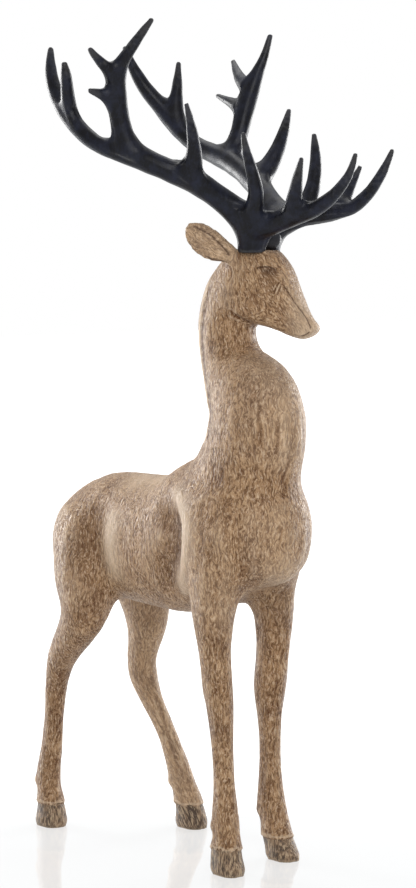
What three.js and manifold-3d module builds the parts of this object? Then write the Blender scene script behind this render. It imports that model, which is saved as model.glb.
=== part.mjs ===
import * as THREE from 'three';
import { mergeVertices } from 'three/addons/utils/BufferGeometryUtils.js';
import Module from 'manifold-3d';

const wasm = await Module();
wasm.setup();

// The stag stands on +Z, looks along -Y and has its left side on +X.
// Every row below is in thousandths of the height over the tallest tine.
const HEIGHT = 600;
const SHARE = HEIGHT / 1000;

// Gap between a separate antler and its seat, in millimetres.
const SEAT_GAP = 0.3;

// Half the gap between the two antlers, in rows.
const PARTING = 0.25;

// The head turns to its left about a post through the top of the neck.
const HEAD_TURN = THREE.MathUtils.degToRad(22);
const HEAD_POST = new THREE.Vector3(0, -118, 0);
const CROWN = 735;

// Trunk rows: along Y, height of the middle, half across, half tall.
const TRUNK = [
  [-228, 405, 6, 9],
  [-224, 405, 25, 35],
  [-210, 406, 48, 57],
  [-181, 407, 63, 67.5],
  [-142, 404, 67, 71],
  [-95, 396, 66, 91],
  [-52, 388.5, 65, 92.5],
  [-20, 378, 65, 83],
  [50, 378, 63, 79],
  [95, 382, 62, 74],
  [140, 379, 56, 61],
  [172, 369, 45, 50],
  [194, 357, 31, 36],
  [205, 350, 16, 21],
  [208, 348, 5, 8],
];

// Neck rows: along Y, rise over its root, half across, half deep.
// The rise is for a neck of NECK_RISE, and stretches with the crown.
const NECK_ROOT = 405;
const NECK_RISE = 330;
const NECK = [
  [-115, 0, 54, 60],
  [-134, 45, 56, 64],
  [-153, 80, 55, 65],
  [-163, 105, 53, 65],
  [-165, 130, 52, 65],
  [-157, 153, 49, 61.5],
  [-137, 175, 43, 50],
  [-121, 196, 36.5, 39.5],
  [-113, 217, 32.5, 37],
  [-110, 240, 31, 38],
  [-114, 265, 30, 37],
  [-122, 289, 27, 31],
  [-130, 309, 20, 22],
];

// Head rows: top forward, top up, bottom forward, bottom up, half across.
// Heights in the head, its ears and its antlers count from the crown.
const HEAD = [
  [-6, -23, -10, -57, 17],
  [2, -3, -4, -71, 27],
  [24, 13, 12, -82, 34],
  [53, 6, 34, -86, 33],
  [77, -19, 52, -90, 29],
  [85, -38, 68, -95, 24],
  [95, -60, 82, -99.5, 19],
  [106, -79, 94, -103, 15.5],
  [115, -89, 104, -100, 12.5],
];
const HEAD_SQUARE = 2.7;
const HEAD_TAPER = 0.14;

// Leg rows: across, along Y, height, half thickness.
const FORE_RIGHT = [
  [-34, -135, 440, 30],
  [-41, -146, 400, 39],
  [-47, -150, 362, 36],
  [-53, -149, 330, 30],
  [-57, -153, 300, 24],
  [-57, -155, 268, 18.5],
  [-55, -156, 243, 17.8],
  [-53, -156, 222, 17.8],
  [-52, -159, 203, 16],
  [-50, -159, 180, 13.8],
  [-48, -159, 150, 12.2],
  [-47, -160, 120, 12],
  [-46, -161, 92, 13.3],
  [-45, -160, 68, 16],
  [-44, -162, 48, 15],
  [-43, -160, 27, 19.2],
  [-43, -161, 18, 18.5],
];
const FORE_LEFT = [
  [34, -135, 440, 30],
  [42, -140, 400, 40],
  [48, -135, 362, 37],
  [54, -128, 326, 30],
  [57, -131, 298, 24],
  [55, -133, 266, 20],
  [53, -132, 242, 19],
  [52, -131, 222, 19.6],
  [51, -130, 204, 19.2],
  [50, -130, 180, 14.8],
  [51, -131, 152, 12.4],
  [52, -130, 120, 12.3],
  [53, -130, 92, 14],
  [54, -129, 68, 17.2],
  [55, -135, 50, 16],
  [55, -138, 32, 18.6],
  [56, -143, 20, 18],
];
const HIND_RIGHT = [
  [-30, 118, 400, 32],
  [-42, 118, 368, 38],
  [-49, 110, 335, 38],
  [-54, 97, 305, 35],
  [-56, 98, 280, 29],
  [-55, 114, 260, 24],
  [-54, 130, 243, 20.5],
  [-53, 145, 226, 18.5],
  [-51, 156, 208, 15.8],
  [-50, 163, 188, 13.8],
  [-49, 168, 165, 12],
  [-49, 171, 135, 11.7],
  [-49, 174, 105, 12.5],
  [-49, 180, 82, 14],
  [-49, 184, 64, 15.4],
  [-50, 180, 49, 14.6],
  [-50, 178, 33, 17.6],
  [-50, 177, 22, 17],
];
const HIND_LEFT = [
  [32, 120, 400, 32],
  [44, 126, 365, 39],
  [52, 126, 330, 39],
  [59, 122, 297, 36],
  [62, 120, 268, 29],
  [62, 121, 248, 24],
  [62, 126, 228, 19.6],
  [62, 131, 207, 18],
  [62, 129, 189, 18.4],
  [62, 118, 168, 14.5],
  [64, 104, 147, 12],
  [67, 90, 124, 11.2],
  [69, 80, 103, 11.6],
  [71, 72, 84, 13.4],
  [73, 67, 67, 15],
  [76, 62, 50, 14.6],
  [78, 57, 34, 17.6],
  [79, 55, 22, 17],
];
const LEG_ACROSS = 0.92;
const LEG_DEEP = 1.1;

// Hooves: across, along Y, then the coronet height and its set back.
const HOOVES = [
  { at: [-43, -164], top: 25, back: 4 },
  { at: [56, -151], top: 26, back: 9 },
  { at: [-50, 176], top: 27, back: -1 },
  { at: [81, 53], top: 27, back: 3 },
];
const HOOF_SOLE = [17, 22.5];
const HOOF_TOP = [15.5, 18];
const HOOF_EDGE = 4;

// Ear rows in the head's frame: across, forward, up, half wide, half thick.
const EAR = [
  [22, 21, -14, 8, 7],
  [31, 14, -4.5, 11.5, 7.5],
  [42, 5.5, 1.5, 16, 7.2],
  [53, -4.5, 10, 19, 6.4],
  [62, -14, 20, 16, 5.2],
  [68, -19, 26.5, 10, 4],
  [71, -22, 29, 4.5, 2.6],
];
const EAR_WIDE = [-0.34, 0.49, 0.8];
const EAR_HOLLOW = [
  [39, 17, -8, 4, 3],
  [48, 9, -2, 9, 5],
  [59.5, -1, 6, 13.6, 6.4],
  [68, -10.5, 17.5, 11.6, 5.4],
  [71.5, -15.5, 24.5, 5, 3],
];

// Tail: a short flap flat against the rump.
const TAIL = [
  [0, 188, 398, 10, 9],
  [0, 208, 378, 13, 10],
  [0, 216, 350, 12, 8],
  [0, 215, 328, 6, 5],
];

// Antler limbs in the head's frame: across, forward, up, half thickness.
const ANTLER_RIGHT = {
  beam: [
    [17, 36, 3, 17], [21, 37, 16, 16.5], [33, 34, 36, 16], [56, 15, 61, 13.4],
    [80, -9, 82, 13.8], [100, -34, 94.5, 12.6], [117, -56, 106.5, 13.2], [128, -82, 115, 11.6],
    [131, -108, 123, 10], [129, -135, 143, 10], [123, -160, 169, 9],
    [115, -176, 195, 8], [106, -184, 217, 5.8], [98, -188, 236, 3],
  ],
  fork: [[127, -143, 153, 7], [135, -143, 179, 8], [147, -138, 202, 6.6], [151, -138, 216, 3]],
  crown: [
    [124, -62, 112, 12], [132, -72, 136, 11.6], [137, -74, 165, 10.4], [142, -74, 195, 10.8],
    [146, -66, 213, 8], [150, -53, 227, 6.6], [153, -37, 244, 5.2], [155, -20, 262, 2.8],
  ],
  side: [[144, -72, 199, 8], [163, -78, 211, 6.2], [178, -81, 221, 4.6], [187, -83, 229, 2.6]],
  spur: [[139, -77, 170, 8], [155, -86, 179, 5.4], [170, -94, 183, 2.4]],
  mid: [
    [90, -12, 87, 12], [99, 4, 107, 9.9], [110, 9, 126, 7.4], [122, 11, 147, 5],
    [135, 13, 167, 2.4],
  ],
  bez: [
    [36, 42, 31, 12], [48, 54, 48, 10.6], [58, 63, 66, 9], [70, 65, 87, 7.6],
    [84, 63, 112, 5.4], [94, 64, 135, 2.4],
  ],
  brow: [
    [24, 46, 29, 15], [30, 78, 35, 13.4], [37, 105, 42, 11.2], [42, 132, 49, 9.2],
    [46, 156, 64, 7.2], [48, 176, 86, 5], [49, 184, 111, 2.4],
  ],
  snag: [[42, 100, 49, 9.5], [54, 110, 66, 8], [67, 120, 86, 5.6], [78, 130, 106, 2.4]],
};
const ANTLER_LEFT = {
  beam: [
    [17, 36, 2, 17], [22, 40, 17, 16], [34, 40, 37, 16], [52, 21, 60, 14.2],
    [72, -3, 77, 14], [92, -31, 94, 13.6], [109, -60, 106, 13], [122, -88, 115, 11.6],
    [130, -120, 127, 10], [131, -146, 149, 10.4], [129, -168, 176, 10],
    [119, -187, 201, 8.8], [108, -197, 227, 6], [98, -200, 247, 2.8],
  ],
  fork: [[129, -138, 145, 7], [133, -147, 170, 8.8], [139, -149, 190, 7.6], [151, -153, 229, 2.8]],
  crown: [
    [116, -66, 111, 11.4], [127, -56, 134, 10.8], [134, -52, 161, 10.4], [140, -45, 193, 10.6],
    [145, -38, 217, 7], [150, -31, 237, 5], [155, -27, 260, 2.8],
  ],
  side: [[141, -50, 197, 9], [158, -70, 207, 7.4], [174, -84, 219, 5], [187, -95, 231, 2.6]],
  spur: [[136, -58, 170, 9], [152, -78, 178, 6], [170, -108, 188, 2.4]],
  mid: [
    [84, -8, 83, 12.4], [94, 4, 101, 11.2], [107, 9, 122, 8.8], [121, 10, 145, 6.2],
    [135, 9, 168, 2.4],
  ],
  bez: [
    [36, 50, 31, 12], [48, 66, 46, 11], [57, 75, 60, 10], [70, 75, 82, 8.6],
    [82, 71, 108, 7], [93, 63, 137, 2.6],
  ],
  brow: [
    [25, 48, 33, 13], [36, 78, 40, 12], [43, 108, 44, 11], [47, 136, 49, 9.2],
    [49, 158, 68, 7.4], [50, 175, 94, 5.2], [50, 185, 117, 2.4],
  ],
  snag: [[50, 118, 47, 9], [57, 121, 61, 8.2], [69, 124, 78, 5.6], [78, 131, 98, 2.4]],
};

// Softness of a joint where one limb runs into another.
const BLEND = { trunk: 18, neck: 22, head: 9, leg: 24, tail: 10, antler: 11 };

const UP = new THREE.Vector3(0, 0, 1);
const ACROSS = new THREE.Vector3(1, 0, 0);
const HEAD_LEFT = ACROSS.clone().applyAxisAngle(UP, HEAD_TURN);
const HEAD_FORWARD = new THREE.Vector3(0, -1, 0).applyAxisAngle(UP, HEAD_TURN);

function inHead(across, forward, up) {
  return HEAD_POST.clone()
    .addScaledVector(HEAD_LEFT, across)
    .addScaledVector(HEAD_FORWARD, forward)
    .addScaledVector(UP, CROWN + up);
}

// A smooth curve through rows of three numbers.
function curve(points) {
  return new THREE.CatmullRomCurve3(points, false, 'centripetal');
}

// Cross sections along a limb: a centre, two half widths and their directions.
// They stand square to its path, or upright where the limb lies level.
function sections(centres, sizes, side, steps, upright) {
  const path = curve(centres);
  const girth = curve(sizes.map(([a, b], i) => new THREE.Vector3(a, b, i)));
  const count = (centres.length - 1) * steps;
  const list = [];
  for (let i = 0; i <= count; i += 1) {
    const t = i / count;
    const tangent = upright ? side.clone().cross(UP) : path.getTangent(t);
    const u = side.clone().addScaledVector(tangent, -side.dot(tangent)).normalize();
    const v = tangent.clone().cross(u).normalize();
    const size = girth.getPoint(t);
    list.push({ centre: path.getPoint(t), u, v, n: tangent, a: size.x, b: size.y });
  }
  return list;
}

function limb(centres, sizes, options = {}) {
  const { side = ACROSS, steps = 2, around = 14, blend = 0, square = 2, taper = 0 } = options;
  const upright = options.upright ?? false;
  const list = options.list ?? sections(centres, sizes, side, steps, upright);
  return { list, around, blend, square, taper, sphere: boundingBall(list) };
}

function boundingBall(list) {
  const box = new THREE.Box3().setFromPoints(list.map((s) => s.centre));
  const girth = Math.max(...list.map((s) => Math.max(s.a, s.b)));
  const ball = box.getBoundingSphere(new THREE.Sphere());
  ball.radius += girth;
  return ball;
}

// A tube whose rings are bent onto a limb's sections.
function tube({ list, around, square, taper }) {
  const rings = list.length - 1;
  const shape = new THREE.CylinderGeometry(1, 1, 1, around, rings);
  const pos = shape.attributes.position;
  const power = 2 / square;
  for (let i = 0; i < pos.count; i += 1) {
    const s = list[Math.round((0.5 - pos.getY(i)) * rings)];
    const x = Math.sign(pos.getX(i)) * Math.abs(pos.getX(i)) ** power;
    const y = Math.sign(pos.getZ(i)) * Math.abs(pos.getZ(i)) ** power;
    const p = s.centre.clone()
      .addScaledVector(s.u, s.a * x * (1 - taper * y))
      .addScaledVector(s.v, s.b * y);
    pos.setXYZ(i, p.x, p.y, p.z);
  }
  return solid(shape);
}

// How far a point lies outside a limb, measured along the ray from its middle line.
const arm = new THREE.Vector3();
function outside(point, { list, square, taper, sphere }) {
  const far = point.distanceTo(sphere.center) - sphere.radius;
  if (far > 60) return far;
  let best = Infinity;
  let last = null;
  for (let i = 0; i < list.length; i += 1) {
    const s = list[i];
    arm.subVectors(point, s.centre);
    const here = { s, u: arm.dot(s.u), v: arm.dot(s.v), w: arm.dot(s.n) };
    if (last && last.w >= 0 && here.w <= 0) {
      const t = last.w / (last.w - here.w + 1e-9);
      best = Math.min(best, reach(
        last.u + (here.u - last.u) * t,
        last.v + (here.v - last.v) * t,
        0,
        last.s.a + (s.a - last.s.a) * t,
        last.s.b + (s.b - last.s.b) * t,
        square,
        taper,
      ));
    }
    if (i === 0 && here.w < 0) {
      best = Math.min(best, reach(here.u, here.v, here.w, s.a, s.b, square, taper));
    }
    if (i === list.length - 1 && here.w > 0) {
      best = Math.min(best, reach(here.u, here.v, here.w, s.a, s.b, square, taper));
    }
    last = here;
  }
  return best;
}

// Ends of limbs are shallow domes, this deep as a share of their thickness.
const CAP = 0.3;

function reach(u, v, w, a, b, square, taper) {
  const y = v / b;
  const x = u / (a * (1 - taper * THREE.MathUtils.clamp(y, -1, 1)));
  const z = w / (Math.min(a, b) * CAP);
  const rho = (Math.abs(x) ** square + Math.abs(y) ** square + Math.abs(z) ** square)
    ** (1 / square);
  const ray = Math.hypot(u, v, w);
  return rho < 1e-6 ? -Math.min(a, b) : ray * (1 - 1 / rho);
}

// One soft skin over several limbs.
function skinField(limbs) {
  return (point) => {
    let value = Infinity;
    for (const piece of limbs) {
      const next = outside(point, piece);
      const k = Math.max(piece.blend, 1e-6);
      const h = Math.max(k - Math.abs(value - next), 0) / k;
      value = Math.min(value, next) - (Number.isFinite(h) ? h * h * k * 0.25 : 0);
    }
    return value;
  };
}

// Moves one point along the field's slope until it lies on the skin.
const PROBE = 0.4;
const LONGEST_MOVE = 6;
const probe = new THREE.Vector3();
const slope = new THREE.Vector3();
function toSkin(p, field, rounds) {
  for (let k = 0; k < rounds; k += 1) {
    const value = field(p);
    if (Math.abs(value) < 0.02) return;
    for (const axis of ['x', 'y', 'z']) {
      probe.copy(p);
      probe[axis] += PROBE;
      slope[axis] = (field(probe) - value) / PROBE;
    }
    const steep = Math.max(slope.lengthSq(), 0.25);
    p.addScaledVector(slope, -THREE.MathUtils.clamp(value / steep, -LONGEST_MOVE, LONGEST_MOVE));
  }
}

// Lays the joined tubes onto the soft skin, and evens out the points near each joint.
const EVENING = 4;
const EVEN_SHARE = 0.45;
function settle(joined, field) {
  const { numProp, vertProperties, triVerts } = joined.getMesh();
  const points = [];
  const moved = [];
  for (let i = 0; i < vertProperties.length; i += numProp) {
    const start = new THREE.Vector3().fromArray(vertProperties, i);
    const p = start.clone();
    toSkin(p, field, 6);
    points.push(p);
    moved.push(p.distanceTo(start) > 0.3);
  }
  const near = points.map(() => new Set());
  for (let i = 0; i < triVerts.length; i += 3) {
    const [a, b, c] = triVerts.slice(i, i + 3);
    near[a].add(b).add(c);
    near[b].add(a).add(c);
    near[c].add(a).add(b);
  }
  const mean = new THREE.Vector3();
  for (let pass = 0; pass < EVENING; pass += 1) {
    points.forEach((p, i) => {
      if (!moved[i]) return;
      mean.set(0, 0, 0);
      for (const j of near[i]) mean.add(points[j]);
      p.lerp(mean.divideScalar(near[i].size), EVEN_SHARE);
      toSkin(p, field, 3);
    });
  }
  return new wasm.Manifold(new wasm.Mesh({
    numProp: 3,
    vertProperties: Float32Array.from(points.flatMap((p) => p.toArray())),
    triVerts,
  }));
}

function solid(geometry) {
  const bare = geometry.clone();
  bare.deleteAttribute('normal');
  bare.deleteAttribute('uv');
  const welded = mergeVertices(bare, 1e-4);
  return new wasm.Manifold(new wasm.Mesh({
    numProp: 3,
    vertProperties: Float32Array.from(welded.attributes.position.array),
    triVerts: Uint32Array.from(welded.index.array),
  }));
}

function trunkLimb() {
  return limb(
    TRUNK.map(([y, z]) => new THREE.Vector3(0, y, z)),
    TRUNK.map(([, , a, b]) => [a, b]),
    {
      side: ACROSS.clone().negate(), upright: true, around: 24, steps: 2, blend: BLEND.trunk,
      square: 2.15,
    },
  );
}

function neckLimb() {
  const stretch = (CROWN - NECK_ROOT) / NECK_RISE;
  return limb(
    NECK.map(([y, z]) => new THREE.Vector3(0, y, NECK_ROOT + z * stretch)),
    NECK.map(([, , a, b]) => [a, b]),
    { around: 22, steps: 2, blend: BLEND.neck },
  );
}

// The head's sections fan out, so each is set by its own top and bottom point.
function headLimb() {
  const tops = curve(HEAD.map(([f, z]) => inHead(0, f, z)));
  const bottoms = curve(HEAD.map(([, , f, z]) => inHead(0, f, z)));
  const widths = curve(HEAD.map((row, i) => new THREE.Vector3(row[4], 0, i)));
  const count = (HEAD.length - 1) * 2;
  const list = [];
  for (let i = 0; i <= count; i += 1) {
    const top = tops.getPoint(i / count);
    const bottom = bottoms.getPoint(i / count);
    const v = top.clone().sub(bottom);
    const b = v.length() / 2;
    v.normalize();
    const n = HEAD_LEFT.clone().cross(v).normalize();
    const centre = top.add(bottom).multiplyScalar(0.5);
    list.push({ centre, u: HEAD_LEFT, v, n, a: widths.getPoint(i / count).x, b });
  }
  return limb([], [], {
    list, around: 20, blend: BLEND.head, square: HEAD_SQUARE, taper: HEAD_TAPER,
  });
}

function legLimb(rows) {
  return limb(
    rows.map(([x, y, z]) => new THREE.Vector3(x, y, z)),
    rows.map(([, , , r]) => [r * LEG_ACROSS, r * LEG_DEEP]),
    { around: 12, steps: 1, blend: BLEND.leg },
  );
}

function hoof({ at, top, back }) {
  const [x, y] = at;
  const rows = [
    [0, HOOF_SOLE[0] - HOOF_EDGE / 2, HOOF_SOLE[1] - HOOF_EDGE / 2],
    [HOOF_EDGE, ...HOOF_SOLE],
    [top, ...HOOF_TOP],
  ];
  const list = rows.map(([z, a, b]) => ({
    centre: new THREE.Vector3(x, y + back * (z / top), z),
    u: ACROSS,
    v: new THREE.Vector3(0, -1, 0),
    n: UP,
    a,
    b,
  })).reverse();
  return tube({ list, around: 14, square: 2.4, taper: 0 });
}

function earRows(rows, mirror, options) {
  const side = inHead(EAR_WIDE[0] * mirror, EAR_WIDE[1], EAR_WIDE[2]).sub(inHead(0, 0, 0));
  return limb(
    rows.map(([x, f, z]) => inHead(x * mirror, f, z)),
    rows.map(([, , , a, b]) => [a, b]),
    { side, steps: 2, ...options },
  );
}

function ear(mirror) {
  const shell = tube(earRows(EAR, mirror, { around: 12 }));
  const hollow = tube(earRows(EAR_HOLLOW, mirror, { around: 12 }));
  return shell.subtract(hollow);
}

function body() {
  const limbs = [
    trunkLimb(),
    neckLimb(),
    ...[FORE_RIGHT, FORE_LEFT, HIND_RIGHT, HIND_LEFT].map(legLimb),
    headLimb(),
    limb(
      TAIL.map(([x, y, z]) => new THREE.Vector3(x, y, z)),
      TAIL.map(([, , , a, b]) => [a, b]),
      { around: 8, steps: 2, blend: BLEND.tail },
    ),
  ];
  const skin = settle(wasm.Manifold.union(limbs.map(tube)), skinField(limbs));
  return skin.trimByPlane([0, 0, -1], -CROWN)
    .add(wasm.Manifold.union([ear(1), ear(-1), ...HOOVES.map(hoof)]))
    .trimByPlane([0, 0, 1], 0);
}

function antler(design, mirror) {
  const limbs = Object.entries(design).map(([name, rows]) => limb(
    rows.map(([x, f, z]) => inHead(x * mirror, f, z)),
    rows.map(([, , , r]) => [r, r]),
    { side: HEAD_FORWARD, steps: 1, around: name === 'beam' ? 12 : 9, blend: BLEND.antler },
  ));
  const skin = settle(wasm.Manifold.union(limbs.map(tube)), skinField(limbs));
  const aside = HEAD_LEFT.clone().multiplyScalar(mirror);
  return skin.trimByPlane([0, 0, 1], CROWN + SEAT_GAP / SHARE)
    .trimByPlane(aside.toArray(), aside.dot(HEAD_POST) + PARTING);
}

function node(name, shape, colour, roughness, metalness) {
  const mesh = shape.getMesh();
  const positions = new Float32Array(mesh.vertProperties.length);
  for (let i = 0; i < positions.length; i += 1) positions[i] = mesh.vertProperties[i] * SHARE;
  const geometry = new THREE.BufferGeometry();
  geometry.setAttribute('position', new THREE.BufferAttribute(positions, 3));
  geometry.setIndex(new THREE.BufferAttribute(Uint32Array.from(mesh.triVerts), 1));
  const material = new THREE.MeshStandardMaterial({ color: colour, roughness, metalness });
  const out = new THREE.Mesh(geometry, material);
  out.name = name;
  return out;
}

const stag = new THREE.Group();
stag.name = 'stag';
stag.add(node('body', body(), 0xa58564, 0.7, 0));
stag.add(node('antler_right', antler(ANTLER_RIGHT, -1), 0x23252d, 0.35, 0));
stag.add(node('antler_left', antler(ANTLER_LEFT, 1), 0x23252d, 0.35, 0));

// The frame's origin is the middle of the box round the stag, on the floor.
const extent = new THREE.Box3().setFromObject(stag);
const middle = extent.getCenter(new THREE.Vector3());
stag.position.set(-middle.x, -middle.y, -extent.min.z);
stag.updateMatrixWorld(true);

export default stag;
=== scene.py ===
# %% [markdown]
# # A carved stag for a shelf
# The real object is a cast resin figurine that is made to look like carved and stained wood, with two
# dark antlers set on the crown of its head. It could be sculpted freely, but here its solids are ready:
# they are loaded as a fixed frame, and each one is replaced by a finer skin of the same form. That way
# the size and the pose stay right, and this script only adds what a carver and a painter would add.

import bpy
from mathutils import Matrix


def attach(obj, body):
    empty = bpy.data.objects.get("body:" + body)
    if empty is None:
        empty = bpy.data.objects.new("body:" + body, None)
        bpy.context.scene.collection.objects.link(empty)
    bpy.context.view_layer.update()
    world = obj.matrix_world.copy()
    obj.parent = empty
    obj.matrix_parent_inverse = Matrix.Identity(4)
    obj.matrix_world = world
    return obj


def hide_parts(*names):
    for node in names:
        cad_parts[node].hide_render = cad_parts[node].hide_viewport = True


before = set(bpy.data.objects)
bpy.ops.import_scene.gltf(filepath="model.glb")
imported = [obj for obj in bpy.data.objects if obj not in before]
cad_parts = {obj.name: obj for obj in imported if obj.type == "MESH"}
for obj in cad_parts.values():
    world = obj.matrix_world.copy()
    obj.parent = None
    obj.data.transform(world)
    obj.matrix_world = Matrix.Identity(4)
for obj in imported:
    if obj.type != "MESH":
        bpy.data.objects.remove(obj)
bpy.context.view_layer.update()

# %% Tools for the lesson
import math

import bpy
import numpy as np
from mathutils import Vector, noise

MM = 0.001

# %% [markdown]
# ## Where the camera stands
# The stag was photographed from its right front, from about its chin's height, with a long lens that
# keeps the legs parallel. The camera could be matched by eye. Instead it takes the place and the lens
# that put the hooves, the nose and the tines where the picture has them.

# %% The camera
EYE = Vector((-1.2436, -1.5251, 0.480))
GAZE = Vector((0.6402, 0.7629, -0.0906))
LENS = 111.08

camera_data = bpy.data.cameras.new("camera")
camera_data.lens = LENS
camera = bpy.data.objects.new("camera", camera_data)
camera.location = EYE
camera.rotation_euler = GAZE.to_track_quat("-Z", "Y").to_euler()
bpy.context.scene.collection.objects.link(camera)
bpy.context.scene.camera = camera
print("camera stands", round(EYE.length, 3), "m from the origin")

# %% [markdown]
# ## Both sides of the animal
# The trunk is even about a plane through its middle, and the head about its own plane, because it is
# turned to the left. Lines drawn on the side that shows are mirrored to the side that doesn't.

# %% Mirrors
MIDDLE = 19.81
HEAD_POST = np.array([19.81, -45.21, 0.0])
HEAD_TURN = math.radians(22)
HEAD_LEFT = np.array([math.cos(HEAD_TURN), math.sin(HEAD_TURN), 0])
HEAD_FORWARD = np.array([math.sin(HEAD_TURN), -math.cos(HEAD_TURN), 0])


def other_side(rows):
    return [(2 * MIDDLE - x, y, z) for x, y, z in reversed(rows)]


def on_head(rows, side):
    placed = [HEAD_POST + HEAD_LEFT * a * side + HEAD_FORWARD * f + np.array([0, 0, z])
              for a, f, z in rows]
    return placed if side > 0 else placed[::-1]


def head_places(points):
    """Across, forward and up of every point, seen from the head."""
    from_post = points - HEAD_POST
    return from_post @ HEAD_LEFT, from_post @ HEAD_FORWARD, from_post[:, 2]


# %% [markdown]
# ## A finer skin
# The solids are made of flat facets some 8 mm wide, fine for collision but not for the eye. A copy is
# merged, its sharp rims are creased, and subdivision rounds the facets. A voxel remesh then gives an
# even net of small faces that can be carved anywhere. Sculpting on the solid's own net would save the
# remesh, but its faces are too uneven. The face has the finest cuts, so there each face of the net is
# split once more, and a few smoothing rounds take out the net's steps.

# %% A copy that can be carved
SHARP_ANGLE = math.radians(48)
MERGE_WITHIN = 0.02 * MM
ROUNDING = 2


def use_only(piece):
    bpy.ops.object.select_all(action="DESELECT")
    piece.select_set(True)
    bpy.context.view_layer.objects.active = piece


def apply_modifier(piece, kind, **settings):
    use_only(piece)
    step = piece.modifiers.new(kind.lower(), kind)
    for name, value in settings.items():
        setattr(step, name, value)
    bpy.ops.object.modifier_apply(modifier=step.name)


def smooth(piece, rounds):
    apply_modifier(piece, "SMOOTH", factor=0.5, iterations=rounds)


def split_faces(piece, chosen):
    use_only(piece)
    bpy.ops.object.mode_set(mode="EDIT")
    bpy.ops.mesh.select_mode(type="FACE")
    bpy.ops.mesh.select_all(action="DESELECT")
    bpy.ops.object.mode_set(mode="OBJECT")
    centres = np.empty(len(piece.data.polygons) * 3, np.float32)
    piece.data.polygons.foreach_get("center", centres)
    piece.data.polygons.foreach_set("select", chosen(centres.reshape(-1, 3) / MM))
    bpy.ops.object.mode_set(mode="EDIT")
    bpy.ops.mesh.subdivide(number_cuts=1)
    bpy.ops.object.mode_set(mode="OBJECT")


def skin_of(node, name, net, rounds, finer=None):
    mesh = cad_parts[node].data.copy()
    mesh.materials.clear()
    piece = bpy.data.objects.new(name, mesh)
    bpy.context.scene.collection.objects.link(piece)
    use_only(piece)
    bpy.ops.object.mode_set(mode="EDIT")
    bpy.ops.mesh.select_mode(type="EDGE")
    bpy.ops.mesh.select_all(action="SELECT")
    bpy.ops.mesh.remove_doubles(threshold=MERGE_WITHIN)
    bpy.ops.mesh.select_all(action="DESELECT")
    bpy.ops.mesh.edges_select_sharp(sharpness=SHARP_ANGLE)
    bpy.ops.transform.edge_crease(value=1.0)
    bpy.ops.object.mode_set(mode="OBJECT")
    apply_modifier(piece, "SUBSURF", levels=ROUNDING, render_levels=ROUNDING)
    apply_modifier(piece, "REMESH", mode="VOXEL", voxel_size=net, use_smooth_shade=True)
    if finer:
        split_faces(piece, finer)
    smooth(piece, rounds)
    print(name, len(piece.data.polygons), "faces")
    return piece


# %% The coat's skin
FACE_FROM = 14
FACE_ABOVE = 380
COAT_NET = 1.65 * MM
COAT_ROUNDS = 4


def on_the_face(centres):
    _, forward, up = head_places(centres)
    return (forward > FACE_FROM) & (up > FACE_ABOVE)


coat = skin_of("body", "coat", COAT_NET, COAT_ROUNDS, on_the_face)

# %% [markdown]
# ## Carving by guide lines
# A carver draws a line on the block and cuts along it. Here a guide line is a short row of points on
# the skin. Every point of the mesh near the line moves in or out by its distance from it, which gives
# a groove, or a step where one form lies over the next. Brushes would do it too, but lines can be
# named, kept and changed.

# %% Reading and writing the skin
def read(piece, what):
    flat = np.empty(len(piece.data.vertices) * 3, np.float32)
    piece.data.vertices.foreach_get(what, flat)
    return flat.reshape(-1, 3).astype(float)


def write(piece, points):
    piece.data.vertices.foreach_set("co", (points * MM).astype(np.float32).ravel())
    piece.data.update()


# %% Soft steps and neighbours
def length(rows):
    return np.linalg.norm(rows, axis=-1)


def ease(value, start, full):
    """Nothing at the start, all at full, and a soft step between, whichever of them is higher."""
    share = np.clip((value - start) / (full - start), 0, 1)
    return share * share * (3 - 2 * share)


def around(distance, width):
    """All on the spot, and less with the distance."""
    return np.exp(-((distance / width) ** 2))


def neighbours(piece):
    ends = np.empty(len(piece.data.edges) * 2, np.int32)
    piece.data.edges.foreach_get("vertices", ends)
    return ends.reshape(-1, 2)


def spread(values, pairs, rounds):
    """Each value becomes the mean of its neighbours', a number of times over."""
    n = len(values)
    a, b = pairs[:, 0], pairs[:, 1]
    count = np.bincount(a, minlength=n) + np.bincount(b, minlength=n)
    for _ in range(rounds):
        columns = [np.bincount(a, c[b], n) + np.bincount(b, c[a], n) for c in values.T]
        values = np.stack(columns, axis=1) / np.maximum(count, 1)[:, None]
    return values


def evened(points, pairs, where, rounds):
    """Takes a ragged edge off without thinning the form: each round smooths, then swells back."""
    for _ in range(rounds):
        for step in (0.5, -0.52):
            points = points + (spread(points, pairs, 1) - points) * (step * where)[:, None]
    return points


# %% Guide lines
def through(rows, parts=6):
    """A smooth line through a few points."""
    p = np.array(rows, float)
    p = np.vstack([2 * p[0] - p[1], p, 2 * p[-1] - p[-2]])
    out = []
    for a, b, c, d in zip(p, p[1:], p[2:], p[3:]):
        for t in np.arange(parts) / parts:
            out.append(0.5 * (2 * b + (c - a) * t + (2 * a - 5 * b + 4 * c - d) * t * t
                              + (3 * b - a - 3 * c + d) * t ** 3))
    return np.array(out + [p[-2]])


def nearest(points, line):
    """Distance to a line, how far along it, the way from it and the line's direction."""
    far = np.full(len(points), np.inf)
    share = np.zeros(len(points))
    away = np.zeros_like(points)
    course = np.zeros_like(points)
    count = len(line) - 1
    for i in range(count):
        a, run = line[i], line[i + 1] - line[i]
        t = np.clip((points - a) @ run / (run @ run), 0, 1)
        gap = points - a - t[:, None] * run
        size = length(gap)
        near = size < far
        far[near] = size[near]
        share[near] = (i + t[near]) / count
        away[near] = gap[near]
        course[near] = run / length(run)
    return far, share, away, course


def fade(share, soft):
    """Full in a line's middle, nothing at its ends."""
    return ease(share, 0, soft) * ease(1 - share, 0, soft)


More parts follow.
